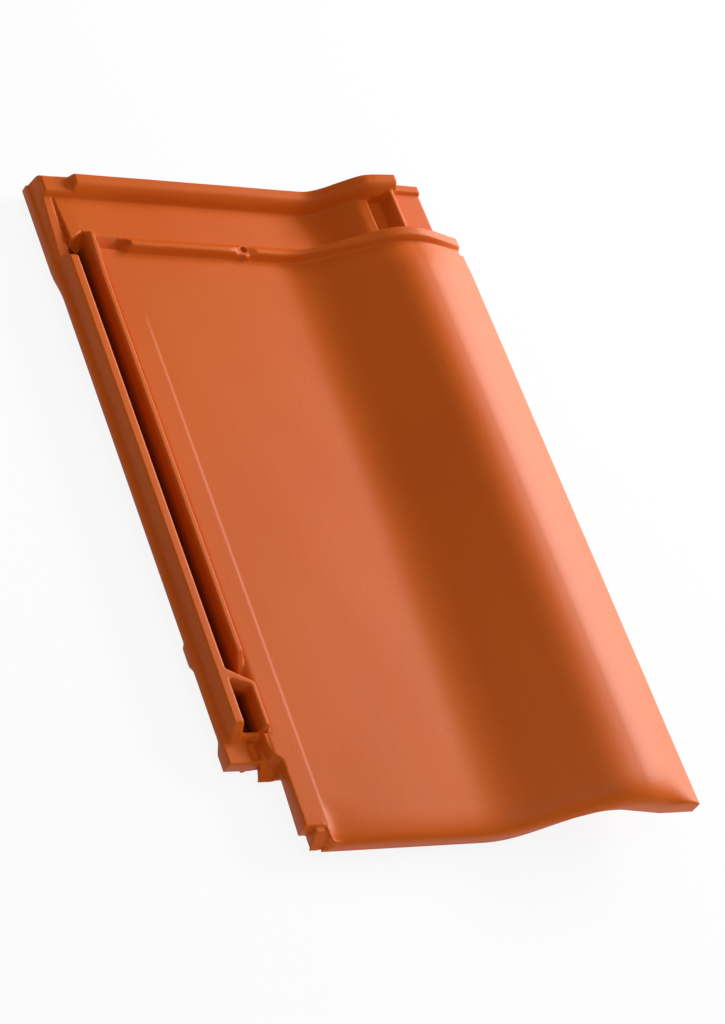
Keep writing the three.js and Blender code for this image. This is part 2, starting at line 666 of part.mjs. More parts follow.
function nailBoss() {
  const half = NAIL_BOSS_WIDTH / 2;
  return plate([
    [NAIL_HOLE_X - half, NAIL_HOLE_Y + NAIL_BOSS_BACK],
    [NAIL_HOLE_X + half, NAIL_HOLE_Y + NAIL_BOSS_BACK],
    [NAIL_HOLE_X + half, NAIL_HOLE_Y - NAIL_BOSS_FRONT],
    [NAIL_HOLE_X + NAIL_BOSS_NOSE / 2, NAIL_HOLE_Y - NAIL_BOSS_POINT],
    [NAIL_HOLE_X - NAIL_BOSS_NOSE / 2, NAIL_HOLE_Y - NAIL_BOSS_POINT],
    [NAIL_HOLE_X - half, NAIL_HOLE_Y - NAIL_BOSS_FRONT],
  ], -SINK, NAIL_BOSS_HEIGHT);
}

function nailHole() {
  const radius = NAIL_HOLE_DIAMETER / 2;
  const cylinder = new THREE.CylinderGeometry(radius, radius, 3 * PAN_THICKNESS, NAIL_HOLE_SIDES);
  cylinder.rotateX(Math.PI / 2);
  cylinder.translate(NAIL_HOLE_X, NAIL_HOLE_Y, 0);
  return toSolid(cylinder);
}

// A nib hooks over the roof batten. Its front face, which bears on the batten, is upright, and its
// other sides have a draft.
function nib(x) {
  const half = NIB_WIDTH / 2;
  const front = TILE_BACK_Y - NIB_SETBACK;
  const at = (z, grow) => [
    [x - half - grow, front, z],
    [x + half + grow, front, z],
    [x + half + grow, front + NIB_LENGTH + grow, z],
    [x - half - grow, front + NIB_LENGTH + grow, z],
  ];
  return loft([at(-REST_DEPTH, 0), at(-TROUGH_THICKNESS + SINK, NIB_DRAFT)], alongZ);
}

function footRib() {
  const back = FOOT_RIB_Y + FOOT_RIB_LENGTH;
  return plate([
    [FOOT_RIB_START_X, FOOT_RIB_Y],
    [FOOT_RIB_END_X, FOOT_RIB_Y],
    [FOOT_RIB_END_X, back],
    [FOOT_RIB_START_X, back],
  ], -REST_DEPTH, -PAN_THICKNESS + SINK);
}

// A fin that hangs from the underside of the cover and has a level lower edge.
function coverFin(left, right, bottom, front, back) {
  return loft([front, back].map((y) => [
    [left, y, bottom],
    [right, y, bottom],
    [right, y, bodyBottom(right, y) + SINK],
    [left, y, bodyBottom(left, y) + SINK],
  ]), alongY);
}

function coverLip() {
  const inside = COVER_EDGE_X - COVER_LIP_WIDTH;
  return coverFin(inside, COVER_EDGE_X, COVER_LIP_BOTTOM, COVER_LIP_FRONT_Y, INNER_RIB_Y);
}

function lockTongue() {
  const right = LOCK_TONGUE_X + LOCK_TONGUE_WIDTH;
  const back = INNER_RIB_Y - LOCK_TONGUE_END_GAP;
  return coverFin(LOCK_TONGUE_X, right, LOCK_TONGUE_BOTTOM, LOCK_TONGUE_FRONT_Y, back);
}

// The whole tile: its pieces joined, then the recess and the nail hole cut.
function clayTile() {
  const added = [
    noseBlock(), panEdge(), bead(),
    trough().subtract(channelEnd()), shelfBead(), innerRib(), headRib(),
    lockBase(), flangeFoot(), outerRail(), innerRail(),
    loop(), sill(), landingRib(), landingBlock(),
    nailBoss(), ...NIB_XS.map(nib), footRib(), coverLip(), lockTongue(),
  ];
  const clay = added.reduce((solid, piece) => solid.add(piece), panAndRoll());
  return [drainRecess(), nailHole()].reduce((solid, cut) => solid.subtract(cut), clay);
}

function toMesh(solid, name) {
  const { vertProperties, triVerts } = solid.getMesh();
  const geometry = new THREE.BufferGeometry();
  geometry.setAttribute('position', new THREE.BufferAttribute(new Float32Array(vertProperties), 3));
  geometry.setIndex(new THREE.BufferAttribute(new Uint32Array(triVerts), 1));
  geometry.computeVertexNormals();
  const material = new THREE.MeshStandardMaterial({ color: COLOR, roughness: 0.6, metalness: 0 });
  const mesh = new THREE.Mesh(geometry, material);
  mesh.name = name;
  return mesh;
}

const tile = toMesh(clayTile(), 'roof_tile');
const box = new THREE.Box3().setFromBufferAttribute(tile.geometry.attributes.position);
tile.position.set(-(box.min.x + box.max.x) / 2, -(box.min.y + box.max.y) / 2, -box.min.z);

const group = new THREE.Group();
group.add(tile);

export default group;
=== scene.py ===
import bpy
import math
import numpy as np
from mathutils import Matrix, Vector


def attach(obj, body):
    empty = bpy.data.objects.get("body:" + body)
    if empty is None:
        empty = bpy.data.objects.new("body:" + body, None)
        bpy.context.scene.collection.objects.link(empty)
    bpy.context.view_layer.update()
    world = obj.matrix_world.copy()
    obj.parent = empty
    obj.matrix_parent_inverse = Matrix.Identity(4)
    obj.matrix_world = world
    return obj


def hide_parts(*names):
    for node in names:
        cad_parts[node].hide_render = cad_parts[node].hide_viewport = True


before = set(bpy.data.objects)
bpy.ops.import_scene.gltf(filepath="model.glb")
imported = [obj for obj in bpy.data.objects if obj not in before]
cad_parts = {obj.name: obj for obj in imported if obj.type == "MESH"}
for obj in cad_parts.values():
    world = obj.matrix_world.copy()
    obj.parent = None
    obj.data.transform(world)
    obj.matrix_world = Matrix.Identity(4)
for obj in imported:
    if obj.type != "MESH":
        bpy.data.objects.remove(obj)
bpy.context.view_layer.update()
print("frame loaded")

# All sizes of the tile are in millimetres. x runs from the left edge of the pan, y from its front
# edge and z from its face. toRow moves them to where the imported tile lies.
toRow = (-118.5, -230.5, 20.0)
nowhere = -99.0  # a height far below the tile, for places that a feature doesn't reach


def mix(a, b, t):
    return a + (b - a) * t


def clamp(t):
    return np.clip(t, 0.0, 1.0)


def ease(t):
    return t * t * (3 - 2 * t)


def easeMore(t):
    return t ** 3 * (6 * t * t - 15 * t + 10)


def beyond(value, low, high):  # how far a place lies outside a stretch, 0 inside it
    return np.maximum(0.0, np.maximum(low - value, value - high))


def ramp(value, start, end):  # 0 before a stretch, 1 behind it
    return clamp((value - start) / (end - start))


# The pan, the roll and the rounded nose.
pan = {
    "thickness": 11.0, "noseX": 13.6, "front": -10.0, "edgeFrontThickness": 11.3, "edgeThickness": 8.6,
    "edgeStep": (43.0, 46.0), "edgeShift": 3.2,
    "edgeLean": 0.8, "edgeLeanEnd": 36.0, "edgeLeanFade": 8.0, "edgeLeanReach": 6.0,
    "noseRound": 16.0, "noseDrop": 6.0, "noseRollRound": 30.0, "noseRollDrop": 10.0,
    "lip": 2.4, "lipLength": 14.0,
    "beadFrontX": 15.0, "beadHeadX": 16.3, "beadY": (1.0, 366.0), "beadFade": (4.0, 12.0),
    "beadFall": 1.0, "beadHeight": 0.3,
    "hollowStart": 0.5, "hollowDepth": 1.6, "hollowWidth": 7.5, "hollowY": (20.0, -4.0),
    "cornerX": 20.4, "cornerY": -3.2, "cornerRound": 6.8, "cornerLedge": -10.5,
    "cornerLip": 0.9, "cornerLipIn": 0.9, "cornerLipWidth": 0.9, "cornerFade": (3.0, 6.0),
    "coveX": 1.4, "coveSlope": 0.09, "coveY": (58.0, 70.0, 408.0, 420.0),
}
roll = {
    "height": 33.0, "footFront": 122.0, "footHead": 142.0, "crestFront": 208.0, "crestHead": 219.0,
    "topFoot": (114.5, 127.0), "topCrest": (222.5, 222.0), "topBow": 4.0,
    "hollowShare": 0.4, "crownShare": 0.31,
    "wall": 13.2, "edgeX": 267.0, "edgeDrop": 13.0, "curve": 1.6, "edgeThickness": 7.0,
    "undersideSlope": 0.2, "headY": 412.5, "dip": 2.5, "edgeDip": 0.8, "dipLength": 22.0,
}


def footX(y):
    return mix(roll["footFront"], roll["footHead"], clamp(y / roll["headY"]))


def crestX(y):
    return mix(roll["crestFront"], roll["crestHead"], clamp(y / roll["headY"]))


def upFlank(x, y):
    return easeMore(clamp((x - footX(y)) / (crestX(y) - footX(y))))


def topRise(x, y):  # the upper face: hollow at the foot, straight up the flank, round at the crest
    along = clamp(y / roll["headY"])
    foot = mix(*roll["topFoot"], along) + roll["topBow"] * 4 * along * (1 - along)
    t = clamp((x - foot) / (mix(*roll["topCrest"], along) - foot))
    hollow, crown = roll["hollowShare"], roll["crownShare"]
    u, v = clamp(t / hollow), clamp((1 - t) / crown)
    straight = np.clip(t - hollow, 0, 1 - hollow - crown)
    rise = hollow * (u ** 3 - u ** 4 / 2) + straight + crown * (0.5 - v ** 3 + v ** 4 / 2)
    return rise / (1 - (hollow + crown) / 2)


def topShape(x, y):
    crest = mix(*roll["topCrest"], clamp(y / roll["headY"]))
    drop = roll["edgeDrop"] * clamp((x - crest) / (roll["edgeX"] - crest)) ** roll["curve"]
    return roll["height"] * topRise(x, y) - drop


def toEdge(x, y):
    return clamp((x - crestX(y)) / (roll["edgeX"] - crestX(y)))


def rollShape(x, y):
    return roll["height"] * upFlank(x, y) - roll["edgeDrop"] * toEdge(x, y) ** roll["curve"]


def rimDip(x, y):
    along = ease(clamp(1 - (roll["headY"] - y) / roll["dipLength"]))
    return mix(roll["dip"], roll["edgeDip"], toEdge(x, y)) * along * upFlank(x, y)


def noseDrop(x, y):
    length = mix(pan["noseRound"], pan["noseRollRound"], ease(toEdge(x, y)))
    runOut = 1 - ease(clamp(2 * toEdge(x, y) - 1))
    t = clamp((length + pan["front"] - y) / length)
    return mix(pan["noseDrop"], pan["noseRollDrop"], upFlank(x, y)) * runOut * (1 - np.sqrt(1 - t * t))


def bodyTop(x, y):
    return topShape(x, y) - rimDip(x, y) - noseDrop(x, y)


def bodyBottom(x, y):
    underFlank = rollShape(x, y) - mix(pan["thickness"], roll["wall"], upFlank(x, y))
    underCover = roll["height"] - roll["wall"] - roll["undersideSlope"] * (x - crestX(y))
    underEdge = roll["height"] - roll["edgeDrop"] - roll["edgeThickness"]
    under = np.where(x <= crestX(y), underFlank, np.maximum(underEdge, underCover))
    lip = pan["lip"] * clamp((pan["lipLength"] + pan["front"] - y) / pan["lipLength"])
    return under - rimDip(x, y) - lip


def beadX(y):
    return mix(pan["beadFrontX"], pan["beadHeadX"], clamp(y / pan["beadY"][1]))


def bead(x, y):  # the strip along the left of the pan is a trace higher and ends in a fine step
    line = beadX(y)
    start, end = pan["beadY"]
    fadeFront, fadeHead = pan["beadFade"]
    ends = ease(ramp(y, start, start + fadeFront)) * ease(ramp(-y, -end, fadeHead - end))
    return pan["beadHeight"] * ends * (1 - ease(ramp(x, line, line + pan["beadFall"])))


def noseHollow(x, y):  # the pan sinks beside the front end of that line
    away = np.maximum(0, x - beadX(y) - pan["hollowStart"]) / pan["hollowWidth"]
    ends = ease(ramp(-y, -pan["hollowY"][0], -pan["hollowY"][1]))
    return pan["hollowDepth"] * away * np.exp(1 - away) * ends


def cove(x, y):  # the pan sinks a little towards the rail
    start, full, fade, end = pan["coveY"]
    along = ramp(y, start, full) * (1 - ramp(y, fade, end))
    return pan["coveSlope"] * np.maximum(0, pan["coveX"] - x) ** 2 * along


def cornerLip(x, y):  # a fine lip along the round left corner of the nose
    besideX, besideY = x - pan["cornerX"], y - pan["cornerY"]
    path = np.hypot(np.minimum(0, besideX), np.minimum(0, besideY)) - pan["cornerRound"] + pan["cornerLipIn"]
    fadeY, fadeX = pan["cornerFade"]
    fade = (1 - ramp(besideY, 0, fadeY)) * (1 - ramp(besideX, 0, fadeX))
    return pan["cornerLip"] * np.exp(-(path / pan["cornerLipWidth"]) ** 2) * fade


def panEdgeX(y):
    return -pan["edgeShift"] * ramp(y, *pan["edgeStep"])


# The side lock: flange, two rails with the channel between them, loop, sill and landing.
sideLock = {
    "frontY": 46.0, "floor": -12.0, "steep": 10.0, "flangeX": -30.0, "flangeZ": -7.0, "flangeHeadZ": -8.3,
    "bottomX": (-30.0, -28.0, -21.0), "bottomZ": (-11.0, -13.0, -16.0), "headBottomZ": (-14.6, -17.0, -16.0),
    "landingBottomZ": (-16.0, -16.0, -16.0), "dip": (381.0, 406.0),
    "railTop": 4.0, "railChamfer": 0.8, "railShoulder": (0.6, 1.4), "railFoot": -12.5,
    "outerX": (-25.25, -17.95), "outerFront": 67.0, "frontSlope": 1.3,
    "step": (406.0, 411.0), "stepZ": -4.2, "backZ": 1.0, "backX": (-27.2, -20.4),
    "innerX": -4.6, "innerHalf": 2.2, "innerFront": (87.0, 115.0), "innerBack": (423.5, 437.5),
    "innerRise": 2.2, "riseStart": 393.5,
    "sillY": (61.0, 64.5), "sillTop": -3.0, "sillEndX": -4.5, "overlap": 1.0,
}
channelEnd = {"x": (-17.7, -6.8), "footY": (413.5, 421.0), "slope": 1.5}
loop = {
    "leftX": -21.6, "rightX": -2.0, "wall": 3.7, "backY": 105.0, "shoulderY": 94.0, "frontY": 63.5,
    "barLeft": 8.0, "barRight": 4.2,
}
landing = {
    "x": (-30.0, -14.4, -13.4, -8.6, -7.6, -5.2, -4.4), "z": (-7.0, -7.0, -9.5, -9.5, -6.5, -6.5, -8.4),
    "backY": 57.0, "ramp": 6.0, "arrisZ": -7.0, "arrisY": 47.9, "arrisSlope": 2.0,
    "ledgeZ": -0.15, "ledgeY": (40.0, 56.0, 63.5), "ledgeWidth": 3.1,
    "ribX": (-18.25, -15.75), "ribBottom": -17.8,
    "footX": (-29.4, -19.0), "footY": (114.5, 128.5), "footBottom": -15.2,
}
frontBlocks = {
    "noseX": 6.3, "noseY": -8.4, "noseLean": 4.6, "noseBottom": -12.5, "noseTop": -1.2,
    "frontY": 37.0, "frontX": -11.6, "backX": -9.0, "ledge": -12.0, "top": -7.5, "bottom": -13.2,
    "tuck": 3.0, "overlap": 1.0,
}


def towardHead(y):  # 0 along the tile, 1 where the flange has dipped near the head
    return ease(ramp(y, *sideLock["dip"]))


def outerRail(x, y):
    # high from the loop on, then a step down, from which it climbs and narrows to the back edge
    back = ramp(y, sideLock["step"][1], head["backY"])
    down = ramp(y, *sideLock["step"])
    top = mix(sideLock["railTop"], mix(sideLock["stepZ"], sideLock["backZ"], back), down)
    left = mix(sideLock["outerX"][0], sideLock["backX"][0], down)
    right = mix(sideLock["outerX"][1], sideLock["backX"][1], back)
    front = sideLock["frontSlope"] * np.maximum(0, sideLock["outerFront"] - y)
    insetLeft, insetRight = sideLock["railShoulder"]
    edge = np.maximum(sideLock["steep"] * beyond(x, left, right),
                      sideLock["railChamfer"] * beyond(x, left + insetLeft, right - insetRight))
    return top - edge - front


def innerRail(x, y):
    rise = sideLock["railTop"] - sideLock["railFoot"]
    footFront, topFront = sideLock["innerFront"]
    topBack, footBack = sideLock["innerBack"]
    high = sideLock["innerRise"] * ramp(y, sideLock["riseStart"], topBack)
    ends = np.maximum(rise * (topFront - y) / (topFront - footFront),
                      (rise + sideLock["innerRise"]) * (y - topBack) / (footBack - topBack))
    top = sideLock["railTop"] + high - np.maximum(0, ends)
    return top - sideLock["steep"] * np.maximum(0, np.abs(x - sideLock["innerX"]) - sideLock["innerHalf"])


def loopTop(x, y):
    # the bar runs from the outer rail down to the right, then a thin wall comes forward
    across = ramp(x, loop["leftX"], loop["rightX"])
    barBack = mix(loop["backY"], loop["shoulderY"], across)
    width = mix(loop["barLeft"], loop["barRight"], across)
    bar = beyond(y, barBack - width, barBack) + beyond(x, loop["leftX"], loop["rightX"])
    wall = beyond(x, loop["rightX"] - loop["wall"], loop["rightX"])
    wall = wall + beyond(y, loop["frontY"], loop["shoulderY"])
    return sideLock["railTop"] - sideLock["steep"] * np.minimum(bar, wall)


def landingTop(x, y):
    floor = np.interp(x, landing["x"], landing["z"])
    arris = landing["arrisZ"] - landing["arrisSlope"] * np.maximum(0, y - landing["arrisY"])
    start, wide, end = landing["ledgeY"]
    ledgeLeft = -pan["edgeShift"] - landing["ledgeWidth"] * ramp(y, start, wide)
    ledge = landing["ledgeZ"] - sideLock["steep"] * (np.maximum(0, ledgeLeft - x) + beyond(y, start, end))
    return np.maximum(np.maximum(floor, arris), ledge)


def lockTop(x, y):
    flange = mix(sideLock["flangeZ"], sideLock["flangeHeadZ"], towardHead(y))
    channel = np.where(x < loop["leftX"], flange, sideLock["floor"])
    z = np.where(y < sideLock["sillY"][0] + sideLock["overlap"], landingTop(x, y), channel)
    sill = sideLock["sillTop"] - sideLock["steep"] * (
        beyond(y, *sideLock["sillY"]) + beyond(x, loop["leftX"], sideLock["sillEndX"]))
    for feature in (outerRail(x, y), innerRail(x, y), loopTop(x, y), sill):
        z = np.maximum(z, feature)
    return z


# The head: inner rib and rim, drain recess, trough, end rib, shelf, head rib and nail boss.
head = {
    "ribY": 412.5, "ribHeight": 6.0, "ribWidth": 12.5, "frontSlope": 2.3, "topWidth": 3.7,
    "ribX": (17.8, 21.2), "rimHeight": 4.4, "rimTopWidth": 6.7, "rimEdgeHeight": 2.6,
    "rimBend": 2.2, "bendX": (240.0, 263.0), "rimEndX": 263.0, "rimTuck": 3.0,
    "headRibY": 455.0, "headRibHeight": 8.7, "headRibSlope": 7.5, "headRibTop": 6.0, "headRibBulge": 0.9,
    "headRibX": (-6.8, -4.6), "headRibEndX": 226.0, "endRise": 1.4,
    "lowRibX": -26.0, "lowRibHeight": 4.0, "lowRibDrop": 2.2, "backY": 471.0,
}
trough = {
    "startX": (-17.2, -19.3), "startY": (415.0, 455.0), "startDrop": 0.3, "levelX": -9.0,
    "thickness": 11.0, "fall": 0.5,
    "climbX": (168.0, 177.0, 188.0, 200.0, 207.0), "climbZ": (0.0, 3.8, 12.0, 20.4, 22.3),
    "climbSoften": ((-4.5, 0.15), (-2.25, 0.22), (0.0, 0.26), (2.25, 0.22), (4.5, 0.15)),
    "brimX": (198.0, 204.5), "brimZ": (18.8, 20.4), "wall": 12.0,
    "grooveX": (208.0, 216.0), "grooveZ": 17.0,
    "endRibX": (219.6, 223.0, 226.0), "endRibTop": 28.0,
    "shelfX": 252.0, "shelfZ": 18.0, "shelfThickness": 9.0,
    "beadWidth": 7.0, "beadHeight": 2.4, "beadRound": 1.2,
}
recess = {"x": (-2.4, 15.2), "y": (417.0, 418.8), "depth": -4.0, "slopes": (3.6, 0.6, 1.9)}
nail = {
    "x": 105.2, "y": 418.6, "radius": 2.5, "rim": 0.6, "top": 4.2, "reach": 14.0, "back": 7.0,
    "leftHalf": 4.8, "leftSlope": 0.56, "rightHalf": 3.1, "rightSlope": 0.33, "fillRadius": 4.4,
    "front": 2.4, "frontHalf": 4.2, "point": 6.6, "pointHalf": 0.4, "steep": 8.0, "gentle": 0.15,
}


def climbZ(x):  # how the trough climbs the roll, with its bends softened
    return sum(share * np.interp(x + shift, trough["climbX"], trough["climbZ"])
               for shift, share in trough["climbSoften"])


def troughZ(x):
    start = -trough["startDrop"] * ramp(-x, -trough["levelX"], -trough["startX"][0])
    knots = trough["brimX"] + trough["grooveX"] + trough["endRibX"] + (trough["shelfX"],)
    heights = trough["brimZ"] + (trough["grooveZ"],) * 2
    heights += (trough["endRibTop"],) * 2 + (trough["shelfZ"],) * 2
    return np.where(x <= knots[0], start + climbZ(x), np.interp(x, knots, heights))


def troughFloor(x, y):
    fall = trough["fall"] * ramp(y, head["ribY"] + head["ribWidth"], head["headRibY"])
    floor = troughZ(x) - fall * (1 - ramp(x, trough["climbX"][0], trough["climbX"][2]))
    left, right = channelEnd["x"]
    line = mix(*channelEnd["footY"], ramp(x, left, right))
    slope = sideLock["floor"] + channelEnd["slope"] * np.maximum(0, y - line)
    return np.where((x > left) & (x < right), np.minimum(floor, slope), floor)


def innerRibTop(x, y):
    y = y - head["rimBend"] * ramp(x, *head["bendX"]) ** 2
    onRib = head["ribY"] + 0 * y
    onRoll = upFlank(x, onRib)
    foot = bodyTop(x, onRib)
    height = mix(mix(head["ribHeight"], head["rimHeight"], onRoll), head["rimEdgeHeight"], toEdge(x, onRib))
    top = foot + height * ramp(x, *head["ribX"])
    topFront = head["ribY"] + head["frontSlope"]
    topBack = topFront + mix(head["topWidth"], head["rimTopWidth"], onRoll)
    back = head["ribY"] + head["ribWidth"]
    low = mix(0.0, bodyBottom(x, onRib) + head["rimTuck"], onRoll)
    rising = mix(foot, top, ramp(y, head["ribY"], topFront))
    falling = mix(top, low, clamp((y - topBack) / (back - topBack)))
    return np.where(y < topFront, rising, falling)


def headRibTop(x, y):
    high = ramp(x, *head["headRibX"])
    floor = np.where(x < head["headRibX"][0], troughZ(x), climbZ(x))
    height = mix(head["lowRibHeight"], head["headRibHeight"], high)
    height = height + head["endRise"] * ramp(x, trough["climbX"][-1], head["headRibEndX"])
    slope = head["headRibSlope"] * height / head["headRibHeight"]
    topBack = head["headRibY"] + head["headRibSlope"] + head["headRibTop"]
    t = clamp((y - head["headRibY"]) / slope)
    up = mix(t, np.sin(t * math.pi / 2), head["headRibBulge"])
    down = ramp(y, topBack, head["backY"]) * mix(head["lowRibDrop"], head["headRibHeight"], high)
    outside = beyond(x, head["lowRibX"], head["headRibEndX"])
    return np.where(y < head["headRibY"], nowhere, floor + height * up - down - sideLock["steep"] * outside)


def nailBoss(x, y, z):
    # the rib is sunk around the nail hole; the boss fills the slope behind it and has a point in front
    u, v = x - nail["x"], y - nail["y"]
    sunk = np.maximum(nail["leftSlope"] * (-nail["leftHalf"] - u),
                      nail["rightSlope"] * (u - nail["rightHalf"]))
    cut = np.minimum(z, nail["top"] + np.maximum(0, sunk))
    widen = (nail["frontHalf"] - nail["pointHalf"]) / (nail["point"] - nail["front"])
    flank = (np.abs(u) - nail["pointHalf"] - widen * (v + nail["point"])) / math.hypot(1, widen)
    point = np.maximum(flank * np.where(u > 0, nail["gentle"], 1), -nail["point"] - v)
    out = np.minimum(np.hypot(u, v) - nail["fillRadius"], np.where(v < 0, point, math.inf))
    filled = np.maximum(cut, nail["top"] - nail["steep"] * np.maximum(0, out))
    return np.where((np.abs(u) < nail["reach"]) & (v < nail["back"]), filled, z)


def shelfBeadTop(y):
    start, end = head["backY"] - trough["beadWidth"], head["backY"]
    inward = np.minimum(y - start, end - y) / trough["beadRound"]
    return trough["shelfZ"] + trough["beadHeight"] * np.sqrt(clamp(1 - (1 - clamp(inward)) ** 2))


def headTop(x, y):
    start = mix(*trough["startX"], ramp(y, *trough["startY"]))
    z = np.where(x >= start, troughFloor(x, y), lockTop(x, y))
    z = np.maximum(z, np.where(x < 0, lockTop(x, y), nowhere))
    onBead = (x > trough["endRibX"][1]) & (y > head["backY"] - trough["beadWidth"])
    z = np.where(onBead, np.maximum(z, shelfBeadTop(y)), z)
    onRib = (y <= head["ribY"] + head["ribWidth"]) & (x > -pan["edgeShift"])
    z = np.where(onRib, np.maximum(z, innerRibTop(x, y)), z)
    z = np.maximum(z, headRibTop(x, y))
    z = nailBoss(x, y, z)
    front, back, side = recess["slopes"]
    cut = recess["depth"] + np.maximum(
        np.maximum(front * (recess["y"][0] - y), back * (y - recess["y"][1])), side * (x - recess["x"][1]))
    cut = np.maximum(cut, recess["depth"])
    return np.where(x > recess["x"][0], np.minimum(z, cut), z)


def topHeights(x, y):
    block = frontBlocks
    face = np.where(x < pan["noseX"], 0.0, bodyTop(x, y) + cornerLip(x, y))
    face = face + bead(x, y) - noseHollow(x, y) - cove(x, y)
    lean = (y - block["noseY"]) * (block["noseTop"] - block["noseBottom"]) / block["noseLean"]
    noseBlock = np.minimum(block["noseTop"], block["noseBottom"] + lean)
    face = np.where((x < pan["noseX"]) & (y < 0), noseBlock, face)
    # the left corner of the nose is round, above a small ledge
    corner = np.hypot(x - pan["cornerX"], y - pan["cornerY"]) - pan["cornerRound"]
    atCorner = (x > pan["noseX"]) & (x < pan["cornerX"]) & (y < pan["cornerY"]) & (corner > 0)
    face = np.where(atCorner, np.minimum(face, np.maximum(noseBlock, pan["cornerLedge"])), face)
    # left of the pan: the side lock, or the block in front of it
    ledge = mix(block["ledge"], block["top"], ramp(y, block["frontY"], sideLock["frontY"]))
    beside = np.where(y < sideLock["frontY"], ledge, lockTop(x, y))
    wall = -sideLock["steep"] * np.maximum(0, panEdgeX(y) - x)
    outside = (x < panEdgeX(y)) & (y > block["frontY"] - block["overlap"])
    z = np.where(outside, np.maximum(beside, wall), np.maximum(face, np.where(x < 0, beside, nowhere)))
    return np.where(y >= head["ribY"], headTop(x, y), z)


# The underside: ribs, nibs, foot, cover lip and lock tongue.
underside = {
    "rest": -20.0, "steep": 6.0, "nibX": (45.0, 150.0), "nibHalf": 16.0, "nibY": (440.0, 452.0),
    "footRibX": (24.0, 126.0), "footRibY": (10.0, 19.0),
    "lipX": (259.0, 267.0), "lipBottom": 3.0, "lipY": (8.0, 412.5),
    "tongueX": (239.0, 244.0), "tongueBottom": 3.5, "tongueY": (30.0, 372.0),
}


def hanging(x, y, spanX, spanY, bottom):  # a rib or nib under the tile, with a small draft
    return bottom + underside["steep"] * (beyond(x, *spanX) + beyond(y, *spanY))


def lockBottom(x, y):  # a thin lip along the flange, thicker clay below the rails and the landing
    z = mix(np.interp(x, sideLock["bottomX"], sideLock["bottomZ"]),
            np.interp(x, sideLock["bottomX"], sideLock["headBottomZ"]), towardHead(y))
    underLanding = 1 - ramp(y, landing["backY"], landing["backY"] + landing["ramp"])
    return mix(z, np.interp(x, sideLock["bottomX"], sideLock["landingBottomZ"]), underLanding)


def troughBottom(x):
    flank = tuple(z - trough["wall"] for z in trough["climbZ"][1:4])
    knots = trough["climbX"][:4] + (trough["grooveX"][0], trough["shelfX"])
    shelf = trough["shelfZ"] - trough["shelfThickness"]
    return np.interp(x, knots, (-trough["thickness"],) + flank + (shelf, shelf))


def bottomHeights(x, y):
    edge = -mix(pan["edgeFrontThickness"], pan["edgeThickness"], clamp(y / pan["edgeStep"][0]))
    z = np.where(x < pan["noseX"], edge, bodyBottom(x, y))
    z = np.where((x < 0) & (y >= sideLock["frontY"]), np.minimum(z, lockBottom(x, y)), z)
    behind = np.where(x < 0, np.minimum(troughBottom(x), lockBottom(x, y)), troughBottom(x))
    underRib = np.minimum(behind, bodyBottom(x, head["ribY"] + 0 * y))
    z = np.where(y > head["ribY"] + head["ribWidth"], behind, np.where(y > head["ribY"], underRib, z))
    block = frontBlocks
    blockEnd = sideLock["frontY"] + block["tuck"]
    hangers = [
        ((block["noseX"], pan["noseX"]), (block["noseY"], block["tuck"]), block["noseBottom"]),
        ((block["frontX"], pan["noseX"]), (block["frontY"], blockEnd), block["bottom"]),
        (landing["ribX"], (sideLock["frontY"], landing["backY"]), landing["ribBottom"]),
        (landing["footX"], landing["footY"], landing["footBottom"]),
        (underside["footRibX"], underside["footRibY"], underside["rest"]),
        (underside["lipX"], underside["lipY"], underside["lipBottom"]),
        (underside["tongueX"], underside["tongueY"], underside["tongueBottom"]),
    ]
    for middle in underside["nibX"]:
        span = (middle - underside["nibHalf"], middle + underside["nibHalf"])
        hangers.append((span, underside["nibY"], underside["rest"]))
    for spanX, spanY, bottom in hangers:
        z = np.minimum(z, hanging(x, y, spanX, spanY, bottom))
    return z


# The mesh: an upper and a lower skin, each on its own grid lines, joined all round by the side walls.
farLeft, farRight, farBack = sideLock["flangeX"], roll["edgeX"], head["backY"]
rimBack = head["ribY"] + head["ribWidth"]
outline = [
    (pan["noseX"], pan["front"]), (farRight, pan["front"]), (farRight, head["ribY"]),
    (head["rimEndX"], head["ribY"]), (head["rimEndX"], rimBack), (trough["shelfX"], rimBack),
    (trough["shelfX"], farBack), (farLeft, farBack), (farLeft, sideLock["frontY"]),
    (frontBlocks["backX"], sideLock["frontY"]), (frontBlocks["frontX"], frontBlocks["frontY"]),
    (0.0, frontBlocks["frontY"]), (0.0, 0.0), (frontBlocks["noseX"], 0.0),
    (frontBlocks["noseX"], frontBlocks["noseY"]), (pan["noseX"], frontBlocks["noseY"]),
]
sidesOfClay = {  # where the outline runs, with the side on which the clay lies
    "x": [(farLeft, 1), (frontBlocks["frontX"], 1), (0, 1), (frontBlocks["noseX"], 1), (pan["noseX"], 1),
          (trough["shelfX"], -1), (head["rimEndX"], -1), (farRight, -1)],
    "y": [(pan["front"], 1), (frontBlocks["noseY"], 1), (0, 1), (frontBlocks["frontY"], 1),
          (sideLock["frontY"], 1), (head["ribY"], -1), (rimBack, -1), (farBack, -1)],
}
meshing = {
    "fieldStep": 0.3, "fieldX": (-32, 269), "fieldY": (-12, 473), "soften": 0.4,
    "leastGap": 0.3, "leastClay": 0.6,
    "holeHalf": 1.8, "holeReach": 7.0, "holeNear": 0.1, "bendEnd": 70, "bendFade": 24, "bendWidth": 7,
}
